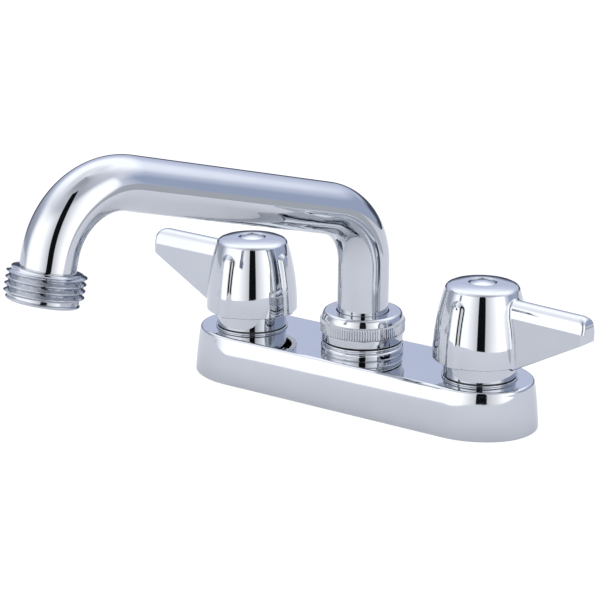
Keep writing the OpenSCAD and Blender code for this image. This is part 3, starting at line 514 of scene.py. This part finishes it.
def cover():
    """The hollow cover: a convex lean up to a rounded top edge, with a hole under each tower and the riser."""
    foot_lean, top_lean = math.radians(4), math.radians(12)
    arc = COVER_H / (math.sin(top_lean) - math.sin(foot_lean))
    edge, wall = 1.4, 2.2

    def lean(z):
        return arc * (math.cos(foot_lean) - math.cos(math.asin(math.sin(foot_lean) + z / arc)))

    def ring(inset, z):
        outline = whole_outline(inset)
        return np.column_stack([outline, np.full(len(outline), z)])

    levels = [(0.3, 0.0), (0.09, 0.09), (lean(0.3), 0.3)]
    levels += [(lean(z), z) for z in np.linspace(0.6, COVER_H - edge, 22)]
    base = lean(COVER_H - edge)
    levels += [(base + edge * (1 - math.cos(math.radians(a))), COVER_H - edge * (1 - math.sin(math.radians(a))))
               for a in np.linspace(12, 90, 14)]
    levels += [(base + edge + 0.5, COVER_H)]
    inner = [(wall + lean(z), z) for z in np.linspace(COVER_H - wall - 0.7, 0.0, 10)]
    inner = [(wall + lean(COVER_H - wall) + 0.7, COVER_H - wall)] + inner
    rings = np.array([ring(inset, z) for inset, z in levels + inner])
    n = rings.shape[1]
    points = rings.reshape(-1, 3)
    faces = []
    o, total = len(levels), len(rings)
    pairs = [(i, i + 1) for i in range(o - 1)] + [(i, i + 1) for i in range(o, total - 1)] + [(total - 1, 0)]
    for i, m in pairs:
        a, b = i * n, m * n
        for j in range(n):
            k = (j + 1) % n
            faces.append((a + j, a + k, b + k, b + j))
    faces.append(tuple((o - 1) * n + j for j in range(n)))
    faces.append(tuple(reversed([o * n + j for j in range(n)])))
    obj = make_object("cover_polished", points, faces, CHROME_FLAT, "base", ["cover_shell"], sharp=25.0)
    bpy.context.view_layer.update()
    for x, r in ((-VALVE_X, 11.25), (0.0, 13.6), (VALVE_X, 11.25)):
        t = around(96)
        p = np.vstack([np.stack([x + r * np.cos(t), r * np.sin(t), np.full(96, z)], 1)
                       for z in (COVER_H - wall - 1, COVER_H + 1)])
        f = [(j, (j + 1) % 96, 96 + (j + 1) % 96, 96 + j) for j in range(96)]
        f += [tuple(range(95, -1, -1)), tuple(range(96, 192))]
        mesh = bpy.data.meshes.new("cutter")
        mesh.from_pydata((p * MM).tolist(), [], f)
        tool = place("cutter", mesh)
        mod = obj.modifiers.new("hole", "BOOLEAN")
        mod.operation, mod.object, mod.solver = "DIFFERENCE", tool, "EXACT"
        with bpy.context.temp_override(object=obj, active_object=obj, selected_objects=[obj]):
            bpy.ops.object.modifier_move_to_index(modifier="hole", index=0)
            bpy.ops.object.modifier_apply(modifier="hole")
        bpy.data.objects.remove(tool)
    obj.data.set_sharp_from_angle(angle=math.radians(25))
    return obj


cover()


# ---------------------------------------------------------------- handles, from a distance field

def section_distance(loop, xs, ys):
    """Signed distance to a closed outline, on the grid xs by ys, negative inside."""
    p = np.array(loop, float)
    q = np.roll(p, -1, 0)
    gx, gy = np.meshgrid(xs, ys, indexing="ij")
    best = np.full(gx.shape, 1e9)
    inside = np.zeros(gx.shape, bool)
    for (ax, ay), (bx, by) in zip(p, q):
        ex, ey = bx - ax, by - ay
        wx, wy = gx - ax, gy - ay
        length = ex * ex + ey * ey
        if length < 1e-12:
            continue
        h = np.clip((wx * ex + wy * ey) / length, 0, 1)
        best = np.minimum(best, (wx - ex * h) ** 2 + (wy - ey * h) ** 2)
        cross = ((ay > gy) != (by > gy)) & (gx < (bx - ax) * (gy - ay) / ((by - ay) if by != ay else 1e-12) + ax)
        inside ^= cross
    d = np.sqrt(best)
    return np.where(inside, -d, d)


class Table:
    """Bilinear lookup of a signed distance on a regular grid."""

    def __init__(self, loop, x0, x1, y0, y1, step=0.08):
        self.x0, self.y0, self.step = x0, y0, step
        xs = np.arange(x0, x1 + step, step)
        ys = np.arange(y0, y1 + step, step)
        self.grid = section_distance(loop, xs, ys)

    def __call__(self, x, y):
        fx = np.clip((x - self.x0) / self.step, 0, self.grid.shape[0] - 1.001)
        fy = np.clip((y - self.y0) / self.step, 0, self.grid.shape[1] - 1.001)
        i, j = fx.astype(int), fy.astype(int)
        u, v = fx - i, fy - j
        g = self.grid
        return (g[i, j] * (1 - u) + g[i + 1, j] * u) * (1 - v) + (g[i, j + 1] * (1 - u) + g[i + 1, j + 1] * u) * v


def round_union(a, b, r):
    """Union of two distances, with a fillet of radius r where they meet."""
    return np.maximum(np.minimum(a, b), r) - np.hypot(np.maximum(r - a, 0), np.maximum(r - b, 0))


def round_both(a, b, r):
    """Intersection of two distances, with its edge rounded to radius r."""
    return np.minimum(np.maximum(a, b), -r) + np.hypot(np.maximum(r + a, 0), np.maximum(r + b, 0))


HANDLE_TOP, HANDLE_FOOT, BEVEL_Z, SIDE_R, HANDLE_R, DOME = 53.4, 25.3, 25.6, 86.0, 17.4, 1.6
RIDGE_Z, REACH, BLADE_HALF, RIDGE_R = 49.5, 45.6, 4.15, 3.6


def side_radius(z):
    return HANDLE_R - SIDE_R + np.sqrt(SIDE_R ** 2 - (z - BEVEL_Z) ** 2)


def handle_field():
    """Distance to the handle's surface, with its lever along +X, in millimetres and negative inside."""
    zs = np.linspace(BEVEL_Z, HANDLE_TOP - 2.0, 40)
    side = [(side_radius(z), z, 0.0) for z in zs]
    dome = [(r, HANDLE_TOP - DOME * ((r - 5.2) / 9.0) ** 2, 0.0) for r in np.linspace(11.6, 5.2, 14)]
    outer = fillet([(-2, HANDLE_FOOT, 0), (HANDLE_R - 0.02, HANDLE_FOOT, 0.25)] + side
                   + [(side_radius(HANDLE_TOP) + 0.05, HANDLE_TOP - DOME * 0.8, 3.0)] + dome
                   + [(-2, HANDLE_TOP, 0)], 4.0)
    outer = Table(outer, 0, 21, 18, 56)
    cavity = Table(fillet([(-2, 18, 0), (15.4, 18, 0), (15.4, 29.8, 1), (10.3, 50.4, 1),
                           (6.8, 50.4, 0.5), (6.8, 34.1, 0.3), (3.65, 34.1, 0.1), (3.65, 44.7, 0), (2.1, 44.7, 0),
                           (2.1, 46.1, 0), (4.1, 46.1, 0.1), (4.1, 51.68, 0), (5.0, 51.68, 0.1),
                           (5.0, HANDLE_TOP - 0.1, 0.0), (5.15, HANDLE_TOP + 0.1, 0), (5.15, 56, 0),
                           (-2, 56, 0)], 10.0), 0, 21, 18, 56)
    low = RIDGE_Z - 5.6
    flare = math.atan2(BLADE_HALF - RIDGE_R, RIDGE_Z - RIDGE_R - low)
    ridge = []
    for a in np.linspace(flare, math.pi - flare, 25):
        ridge.append((RIDGE_R * math.cos(a), RIDGE_Z - RIDGE_R + RIDGE_R * math.sin(a)))
    section = Table([(-BLADE_HALF, 15), (BLADE_HALF, 15), (BLADE_HALF, low)] + ridge + [(-BLADE_HALF, low)],
                    -9, 9, 14, 58)
    end = Table(fillet([(-5, 10, 0), (REACH, 10, 0), (REACH, RIDGE_Z + 0.9, 5.0), (-5, RIDGE_Z + 0.9, 0)], 4.0),
                -6, 52, 14, 58)
    root_x, root_z, tip_z = 15.4, RIDGE_Z - 25.8, RIDGE_Z - 9.3
    slope = math.atan2(tip_z - root_z, REACH - root_x)
    nx, nz = math.sin(slope), -math.cos(slope)
    rib_half, rib_rise, rib_top = 2.3, 1.1, HANDLE_TOP - 5.0

    def field(x, y, z):
        r = np.hypot(x, y)
        body = outer(r, z)
        under = (x - root_x) * nx + (z - root_z) * nz
        blade = round_both(section(y, z), end(x, z), 1.3)
        blade = round_both(blade, under, 0.35)
        blade = np.maximum(blade, 2.0 - x)
        d = round_union(body, blade, 0.8)
        for a in (90, 180, 270):
            c, s = math.cos(math.radians(a)), math.sin(math.radians(a))
            u, v = x * c + y * s, -x * s + y * c
            plan = np.hypot(v, np.maximum(z - rib_top + rib_half, 0.0)) - rib_half
            rib = round_both(plan, body - rib_rise, 1.3)
            rib = np.maximum(np.maximum(rib, 2.0 - u), HANDLE_FOOT - z)
            d = round_union(d, rib, 1.0)
        return np.maximum(d, -cavity(r, z))

    return field


def surface_nets(field, low, high, step):
    """A quad mesh of the field's zero surface, sampled on a grid from low to high."""
    axes = [np.arange(low[k], high[k] + step, step) for k in range(3)]
    shape = tuple(len(a) for a in axes)
    values = np.empty(shape)
    for i, x in enumerate(axes[0]):
        gy, gz = np.meshgrid(axes[1], axes[2], indexing="ij")
        values[i] = field(np.full(gy.shape, x), gy, gz)
    neg = values < 0
    cells = np.zeros(tuple(s - 1 for s in shape), int)
    corners = [(i, j, k) for i in (0, 1) for j in (0, 1) for k in (0, 1)]
    cut = lambda c: tuple(slice(c[k], shape[k] - 1 + c[k]) for k in range(3))
    for c in corners:
        cells += neg[cut(c)]
    mixed = (cells > 0) & (cells < 8)
    idx = np.argwhere(mixed)
    number = np.full(mixed.shape, -1)
    number[mixed] = np.arange(len(idx))
    total = np.zeros((len(idx), 3))
    count = np.zeros(len(idx))
    for a in corners:
        for axis in range(3):
            if a[axis]:
                continue
            b = list(a)
            b[axis] = 1
            va = values[idx[:, 0] + a[0], idx[:, 1] + a[1], idx[:, 2] + a[2]]
            vb = values[idx[:, 0] + b[0], idx[:, 1] + b[1], idx[:, 2] + b[2]]
            on = (va < 0) != (vb < 0)
            t = np.where(on, va / np.where(on, va - vb, 1.0), 0.0)
            p = np.array(a, float)[None] + t[:, None] * (np.array(b, float) - np.array(a, float))[None]
            total += p * on[:, None]
            count += on
    points = np.array(low)[None] + (idx + total / count[:, None]) * step
    faces = []
    for axis in range(3):
        u, v = (axis + 1) % 3, (axis + 2) % 3
        sl0, sl1 = [slice(None)] * 3, [slice(None)] * 3
        sl0[axis], sl1[axis] = slice(0, -1), slice(1, None)
        change = neg[tuple(sl0)] != neg[tuple(sl1)]
        e = np.argwhere(change)
        ok = (e[:, u] > 0) & (e[:, v] > 0) & (e[:, u] < shape[u] - 1) & (e[:, v] < shape[v] - 1)
        e = e[ok]
        inside = neg[e[:, 0], e[:, 1], e[:, 2]]
        ring = []
        for du, dv in ((0, 0), (-1, 0), (-1, -1), (0, -1)):
            q = e.copy()
            q[:, u] += du
            q[:, v] += dv
            ring.append(number[q[:, 0], q[:, 1], q[:, 2]])
        quad = np.stack(ring, 1)
        quad[~inside] = quad[~inside][:, ::-1]
        faces.append(quad)
    return points, np.vstack(faces)


def gradient(field, p, e=0.03):
    g = np.empty_like(p)
    for k in range(3):
        a, b = p.copy(), p.copy()
        a[:, k] += e
        b[:, k] -= e
        g[:, k] = (field(*a.T) - field(*b.T)) / (2 * e)
    return g


def handle_mesh(step):
    """Points, faces and normals of the handle. The grid starts above the lever's root, which is left open there."""
    field = handle_field()
    points, faces = surface_nets(field, (-19.0, -19.0, 24.3), (47.0, 19.0, 55.0), step)
    for _ in range(4):
        d = field(*points.T)
        g = gradient(field, points)
        move = (d / np.maximum((g ** 2).sum(1), 0.25))[:, None] * g
        size = np.linalg.norm(move, axis=1)[:, None]
        points = points - move * np.minimum(1.0, 0.5 * step / np.maximum(size, 1e-9))
    g = gradient(field, points)
    g /= np.maximum(np.linalg.norm(g, axis=1), 1e-9)[:, None]
    return points, faces, g


def turned(p, degrees):
    """Points or normals turned about the vertical axis."""
    a = math.radians(degrees)
    c, s = math.cos(a), math.sin(a)
    q = p.copy()
    q[:, 0], q[:, 1] = p[:, 0] * c - p[:, 1] * s, p[:, 0] * s + p[:, 1] * c
    return q


HANDLE = handle_mesh(0.4)


def handle(side, x, degrees):
    points, faces, normals = HANDLE
    return make_object(side + "_handle_cast", turned(points, degrees) + [x, 0, 0], faces, CHROME, side + "_valve",
                       [side + "_handle"], normals=turned(normals, degrees))


handle("hot", -VALVE_X, HOT_LEVER)
handle("cold", VALVE_X, COLD_LEVER)


def button(side, x):
    r, top = 4.82, HANDLE_TOP + 0.5
    dome = [(0.0, top)] + [(q, top - 0.047 * q * q) for q in np.linspace(0.4, 4.4, 14)]
    line = dome + [(4.7, top - 1.13), (r, top - 1.35), (r, 51.72), (4.0, 51.7), (4.0, 50.6), (0.0, 50.6)]
    return solid_revolve(side + "_button_domed", line, side + "_valve", CHROME, [side + "_index_button"],
                         x=x, sharp=28)


button("hot", -VALVE_X)
button("cold", VALVE_X)


# ---------------------------------------------------------------- below the deck

def shank(side, x):
    major, minor, pitch, bore, throat, spigot = 10.45, 9.45, 1.814, 6.5, 6.0, 9.35
    foot, step_z, spigot_top = -45.0, -1.0, 3.9
    sides = 160
    t = around(sides)
    low, high = -44.2, -2.2
    plan = [("fix", bore + 0.5, foot), ("fix", minor - 0.2, foot), ("fix", minor, -44.7)]
    plan += [("thread", minor, z) for z in np.arange(-44.4, -1.8, 0.165)]
    plan += [("fix", minor, -1.4), ("fix", minor, 1.6), ("fix", spigot, 1.62), ("fix", spigot, spigot_top),
             ("fix", throat, spigot_top), ("fix", throat, step_z), ("fix", bore, step_z), ("fix", bore, foot + 0.5)]
    rings = []
    for kind, r, z in plan:
        radius = np.full(sides, float(r))
        if kind == "thread":
            turn = z / pitch + t / (2 * math.pi)
            fade = np.clip((z - low) / 1.2, 0, 1) * np.clip((high - z) / 1.2, 0, 1)
            radius = minor + (major - minor) * thread_height(turn, 0.3) * fade
        rings.append(np.stack([x + radius * np.cos(t), radius * np.sin(t), np.full(sides, float(z))], 1))
    points, faces = loop_grid(np.array(rings))
    return make_object(side + "_shank_threaded", points, flipped(faces), BRASS, "base", [side + "_shank"],
                       sharp=50.0, weighted=False)


def deck_washer(side, x):
    loop = fillet([(10.6, -21.6, 0.2), (19.0, -21.6, 0.35), (19.0, -20.0, 0.35), (10.6, -20.0, 0.2)])
    return revolve(side + "_washer_pressed", loop, "base", STEEL, (), x=x)


def lock_nut(side, x):
    """A hexagon whose corners are turned off at both faces, with a chamfered bore."""
    flat, r_bore = 14.3, 10.52
    sides = 240
    t = around(sides)
    hexagon = flat / np.cos((t + math.pi / 6) % (math.pi / 3) - math.pi / 6)
    z0, z1 = -28.6, -21.6
    face_r = flat * 0.985
    rings = []
    put = lambda r, z: rings.append(np.stack([x + r * np.cos(t), r * np.sin(t), np.broadcast_to(z, t.shape)], 1))
    put(np.full(sides, r_bore + 0.7), z0)
    put(np.full(sides, face_r), z0)
    cut = np.maximum(hexagon - face_r, 0.0) * math.tan(math.radians(30))
    put(hexagon, z0 + cut + 0.12)
    put(hexagon, z1 - cut - 0.12)
    put(np.full(sides, face_r), z1)
    put(np.full(sides, r_bore + 0.7), z1)
    put(np.full(sides, r_bore), z1 - 0.7)
    put(np.full(sides, r_bore), z0 + 0.7)
    points, faces = loop_grid(np.array(rings))
    return make_object(side + "_locknut_turned", points, flipped(faces), BRASS, "base", (), sharp=28.0)


for side, x in (("hot", -VALVE_X), ("cold", VALVE_X)):
    shank(side, x)
    washer = deck_washer(side, x)
    nut = lock_nut(side, x)
    if side == "hot":
        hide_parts("deck_washers")
        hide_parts("lock_nuts")


# ---------------------------------------------------------------- camera

def camera():
    az, el, roll = (math.radians(v) for v in (34.596, 17.094, 0.578))
    dist, focal, ut, vt = 836.13, 2222.06, -23.369, 35.292
    back = Vector((math.sin(az) * math.cos(el), -math.cos(az) * math.cos(el), math.sin(el)))
    right = Vector((math.cos(az), math.sin(az), 0.0))
    up = back.cross(right)
    spot = (right * ut + up * vt + back * dist) * MM
    r = right * math.cos(roll) + up * math.sin(roll)
    u = -right * math.sin(roll) + up * math.cos(roll)
    data = bpy.data.cameras.new("camera")
    data.sensor_width = 36.0
    data.lens = focal * 36.0 / 600.0
    data.clip_start, data.clip_end = 0.05, 20.0
    cam = place("camera", data)
    cam.matrix_world = Matrix.Translation(spot) @ Matrix((r, u, back)).transposed().to_4x4()
    scene.camera = cam


camera()


# ---------------------------------------------------------------- studio

def only_in_gloss(obj):
    """Leaves a panel to reflections and to the light it sheds."""
    obj.visible_camera = False
    obj.visible_shadow = False
    obj.visible_transmission = False
    obj.visible_volume_scatter = False


def card(name, azimuths, heights, radius, strength, colour, soft=(10.0, 10.0, 60.0, 60.0), dip=None):
    """An upright curved panel round the part, seen only in reflections and by its light.

    soft: how far it fades out at the left and right (degrees) and at the foot and head (mm).
    dip: azimuth it is dimmest at, half widths of the dim and the full part (degrees), and its share of light there."""
    n, m = 60, 30
    at, near, away, share = dip or (0.0, -2.0, -1.0, 1.0)
    points, fade, tone = [], [], []
    for i in range(n + 1):
        a = azimuths[0] + (azimuths[1] - azimuths[0]) * i / n
        for j in range(m + 1):
            z = heights[0] + (heights[1] - heights[0]) * j / m
            t = math.radians(a)
            points.append((radius * math.sin(t), -radius * math.cos(t), z))
            f = 1.0
            for gap, reach in zip((a - azimuths[0], azimuths[1] - a, z - heights[0], heights[1] - z), soft):
                f *= smooth(gap / reach)
            fade.append(f)
            lit = min(1.0, max(0.0, (abs(a - at) - near) / (away - near)))
            tone.append(strength * (share + (1.0 - share) * lit))
    faces = [(i * (m + 1) + j, i * (m + 1) + j + 1, (i + 1) * (m + 1) + j + 1, (i + 1) * (m + 1) + j)
             for i in range(n) for j in range(m)]
    mesh = bpy.data.meshes.new(name)
    mesh.from_pydata((np.array(points) * MM).tolist(), [], faces)
    mesh.attributes.new("fade", "FLOAT", "POINT").data.foreach_set("value", fade)
    mesh.attributes.new("tone", "FLOAT", "POINT").data.foreach_set("value", tone)
    mat = bpy.data.materials.new(name)
    mat.use_nodes = True
    tree = mat.node_tree
    tree.nodes.clear()
    out = add(tree, "ShaderNodeOutputMaterial")
    mix = add(tree, "ShaderNodeMixShader")
    clear = add(tree, "ShaderNodeBsdfTransparent")
    emit = add(tree, "ShaderNodeEmission")
    emit.inputs["Color"].default_value = (*colour, 1.0)
    power = add(tree, "ShaderNodeAttribute", attribute_name="tone")
    tree.links.new(power.outputs["Fac"], emit.inputs["Strength"])
    attr = add(tree, "ShaderNodeAttribute", attribute_name="fade")
    tree.links.new(attr.outputs["Fac"], mix.inputs["Fac"])
    tree.links.new(clear.outputs[0], mix.inputs[1])
    tree.links.new(emit.outputs[0], mix.inputs[2])
    tree.links.new(mix.outputs[0], out.inputs["Surface"])
    mesh.materials.append(mat)
    obj = place(name, mesh)
    only_in_gloss(obj)
    return obj


card("softbox_front", (-66, 100), (-200, 1000), 860, 1.74, (1.0, 1.0, 1.0), soft=(30, 4, 40, 560),
     dip=(VIEW_AZ, 8.0, 40.0, 0.47))


def dark_slit():
    """The unlit gap in the front softbox, through which such a picture is taken."""
    obj = card("dark_slit", (-10.3, 9.6), (-160, 1500), 800, 0.01, (0.7, 0.85, 1.0), soft=(0.8, 2.2, 30, 70))
    obj.rotation_euler[2] = math.radians(VIEW_AZ)
    obj.visible_diffuse = False
    return obj


dark_slit()


def floor():
    """A pale table under the part, and beyond its edges a backdrop that only the camera sees."""
    a = math.radians(VIEW_AZ)
    toward, across = np.array([math.sin(a), -math.cos(a)]), np.array([math.cos(a), math.sin(a)])
    mat = bpy.data.materials.new("table")
    mat.use_nodes = True
    tree = mat.node_tree
    tree.nodes.clear()
    out = add(tree, "ShaderNodeOutputMaterial")
    both = add(tree, "ShaderNodeAddShader")
    diffuse = add(tree, "ShaderNodeBsdfDiffuse")
    emit = add(tree, "ShaderNodeEmission")
    path = add(tree, "ShaderNodeLightPath")
    tone = add(tree, "ShaderNodeMix", data_type="RGBA")
    tone.inputs["A"].default_value = (0.81, 0.815, 0.825, 1.0)
    tone.inputs["B"].default_value = (0.16, 0.16, 0.16, 1.0)
    share = add(tree, "ShaderNodeMath", operation="MULTIPLY")
    share.inputs[1].default_value = 0.91
    tree.links.new(path.outputs["Is Camera Ray"], tone.inputs["Factor"])
    tree.links.new(path.outputs["Is Camera Ray"], share.inputs[0])
    tree.links.new(tone.outputs["Result"], diffuse.inputs["Color"])
    tree.links.new(share.outputs[0], emit.inputs["Strength"])
    tree.links.new(diffuse.outputs[0], both.inputs[0])
    tree.links.new(emit.outputs[0], both.inputs[1])
    tree.links.new(both.outputs[0], out.inputs["Surface"])

    def sheet(name, corners, height):
        mesh = bpy.data.meshes.new(name)
        points = [(*((toward * p + across * q) * MM), height) for p, q in corners]
        mesh.from_pydata(points, [], [tuple(range(len(corners)))[::-1]])
        mesh.materials.append(mat)
        obj = place(name, mesh)
        return obj

    front, wide, back, side, far = 252, 234, -600, 2500, 3500
    arc = [(front * math.cos(t), wide * math.sin(t)) for t in np.radians(np.linspace(-100, 100, 81))]
    edge = arc[-1][0]
    sheet("table", arc + [(edge, side), (back, side), (back, -side), (edge, -side)], 0.0)
    outer = sheet("backdrop", [(far, -far), (far, far), (-far, far), (-far, -far)], -0.0002)
    outer.visible_glossy = outer.visible_diffuse = outer.visible_transmission = False


floor()


def studio_world():
    """A pale room for the reflections: dimmer low down, brighter overhead, and dark behind the table's far edge."""
    world = bpy.data.worlds.new("studio")
    scene.world = world
    world.use_nodes = True
    tree = world.node_tree
    tree.nodes.clear()
    out = add(tree, "ShaderNodeOutputWorld")
    room = add(tree, "ShaderNodeBackground")
    white = add(tree, "ShaderNodeBackground")
    white.inputs["Color"].default_value = (1, 1, 1, 1)
    coord = add(tree, "ShaderNodeTexCoord")
    sep = add(tree, "ShaderNodeSeparateXYZ")
    tree.links.new(coord.outputs["Generated"], sep.inputs[0])
    flip = add(tree, "ShaderNodeMath", operation="MULTIPLY")
    flip.inputs[1].default_value = -1.0
    tree.links.new(sep.outputs["Y"], flip.inputs[0])
    turn = add(tree, "ShaderNodeMath", operation="ARCTAN2")
    tree.links.new(sep.outputs["X"], turn.inputs[0])
    tree.links.new(flip.outputs[0], turn.inputs[1])
    round_about = value_range(tree, turn.outputs[0], 0.0, 1.0, -math.pi, math.pi)

    def belt(*stops):
        """Colours round the room by degrees from straight in front."""
        return ramp(tree, round_about, [((a + 180.0) / 360.0, c) for a, c in stops])

    def blend(low, high, foot, head):
        m = add(tree, "ShaderNodeMix", data_type="RGBA")
        start, end = math.sin(math.radians(foot)), math.sin(math.radians(head))
        level = value_range(tree, sep.outputs["Z"], 0.0, 1.0, start, end)
        tree.links.new(level, m.inputs["Factor"])
        tree.links.new(low, m.inputs["A"])
        tree.links.new(high, m.inputs["B"])
        return m.outputs["Result"]

    dark, grey, shade, dusk = (0.08, 0.09, 0.13), (0.56, 0.58, 0.62), (0.48, 0.55, 0.73), (0.68, 0.74, 0.93)
    pale, bright, lamp = (1.0, 1.05, 1.22), (1.15, 1.17, 1.22), (1.6, 1.62, 1.66)
    under = belt((-180, dark), (-112, dark), (-92, grey), (150, grey), (166, dark))
    skirting = belt((-180, dark), (-118, dark), (-100, (0.41, 0.45, 0.55)), (-70, (0.50, 0.53, 0.62)), (-50, bright),
                    (100, bright), (116, shade), (158, shade), (170, dark))
    low = belt((-180, dusk), (-125, dusk), (-95, (0.47, 0.51, 0.61)), (-70, (0.56, 0.59, 0.69)), (-50, bright),
               (100, bright), (116, shade), (165, shade), (180, dusk))
    middle = belt((-180, pale), (-110, pale), (-80, (0.80, 0.84, 0.95)), (-50, bright), (100, bright),
                  (122, (0.82, 0.87, 1.02)), (180, pale))
    high = belt((-180, lamp), (-100, lamp), (-50, bright), (0, (0.80, 0.82, 0.88)), (60, (0.56, 0.58, 0.64)),
                (110, (0.90, 0.92, 1.0)), (150, lamp))
    top = belt((-180, (1.25, 1.27, 1.32)), (-30, (0.98, 1.0, 1.05)), (10, (0.5, 0.52, 0.57)), (70, (0.5, 0.52, 0.57)),
               (130, (1.1, 1.12, 1.17)))
    sky = blend(under, skirting, -0.3, 0.8)
    for belt_above, foot, head in ((low, 7, 14), (middle, 20, 34), (high, 31, 45), (top, 62, 74)):
        sky = blend(sky, belt_above, foot, head)
    tree.links.new(sky, room.inputs["Color"])
    mix = add(tree, "ShaderNodeMixShader")
    path = add(tree, "ShaderNodeLightPath")
    tree.links.new(path.outputs["Is Camera Ray"], mix.inputs["Fac"])
    tree.links.new(room.outputs[0], mix.inputs[1])
    tree.links.new(white.outputs[0], mix.inputs[2])
    tree.links.new(mix.outputs[0], out.inputs["Surface"])


studio_world()
scene.view_settings.view_transform = "Standard"
